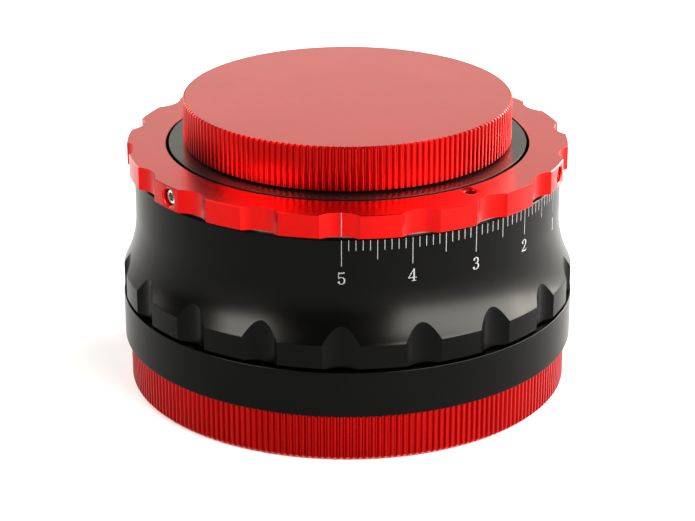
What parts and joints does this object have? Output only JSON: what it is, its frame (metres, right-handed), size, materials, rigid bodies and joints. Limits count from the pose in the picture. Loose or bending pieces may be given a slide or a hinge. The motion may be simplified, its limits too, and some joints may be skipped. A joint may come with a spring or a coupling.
{
  "type": "helical focuser with dust caps",
  "caption": "Short cylindrical manual helical focuser with a scalloped, engraved focus ring, a scalloped index ring and knurled screw-on dust caps at both ends.",
  "frame": {"origin": "centre of the bottom dust cap's flat outer face, on the optical axis", "axes": "+Z along the optical axis towards the camera side; -Y towards the index line and the number 5 of the scale; +X to the right seen from the front"},
  "size_m": [0.082, 0.082, 0.0533],
  "materials": {
    "red_anodised": "satin",
    "black_anodised": "satin",
    "brass": "satin",
    "stainless_steel": "satin",
    "black_rubber": "matte",
    "white_paint": "matte",
    "black_acetal": "satin",
    "nylon": "matte"
  },
  "bodies": {
    "base": {"base_ring": "black_anodised", "guide_barrel": "black_anodised", "barrel_screws": "stainless_steel", "travel_stop_pin": "stainless_steel", "drawtube_seal": "black_rubber", "lower_slip_washer": "black_acetal", "upper_slip_washer": "black_acetal", "index_ring": "red_anodised", "index_line": "white_paint", "index_set_screws": "stainless_steel", "set_screw_pads": "nylon"},
    "focus_ring": {"focus_ring": "black_anodised", "scale_marks": "white_paint", "scale_numerals": "white_paint"},
    "drawtube": {"drawtube": "black_anodised", "cam_followers": "brass", "follower_screws": "stainless_steel", "camera_ring": "black_anodised"},
    "top_cap_seal": {"top_cap_seal": "black_rubber"},
    "top_dust_cap": {"top_dust_cap": "red_anodised"},
    "bottom_cap_seal": {"bottom_cap_seal": "black_rubber"},
    "bottom_dust_cap": {"bottom_dust_cap": "red_anodised"}
  },
  "joints": [
    {"name": "focus_ring_turn", "type": "hinge", "parent": "base", "child": "focus_ring", "pos_m": [0, 0, 0.03], "axis": [0, 0, 1], "range_deg": [-90, 0]},
    {"name": "drawtube_slide", "type": "slide", "parent": "base", "child": "drawtube", "axis": [0, 0, 1], "range_m": [-0.005, 0]},
    {"name": "top_cap_lift", "type": "slide", "parent": "drawtube", "child": "top_cap_seal", "axis": [0, 0, 1], "range_m": [0, 0.0053]},
    {"name": "top_cap_unscrew", "type": "hinge", "parent": "top_cap_seal", "child": "top_dust_cap", "pos_m": [0, 0, 0.05], "axis": [0, 0, 1], "range_deg": [0, 2520]},
    {"name": "bottom_cap_drop", "type": "slide", "parent": "base", "child": "bottom_cap_seal", "axis": [0, 0, -1], "range_m": [0, 0.0061]},
    {"name": "bottom_cap_unscrew", "type": "hinge", "parent": "bottom_cap_seal", "child": "bottom_dust_cap", "pos_m": [0, 0, 0.004], "axis": [0, 0, -1], "range_deg": [0, 2160]}
  ],
  "couplings": [
    {"joint": "drawtube_slide", "follows": "focus_ring_turn", "m_per_rad": 0.003183},
    {"joint": "top_cap_lift", "follows": "top_cap_unscrew", "m_per_rad": 0.00011937},
    {"joint": "bottom_cap_drop", "follows": "bottom_cap_unscrew", "m_per_rad": 0.00015915}
  ]
}
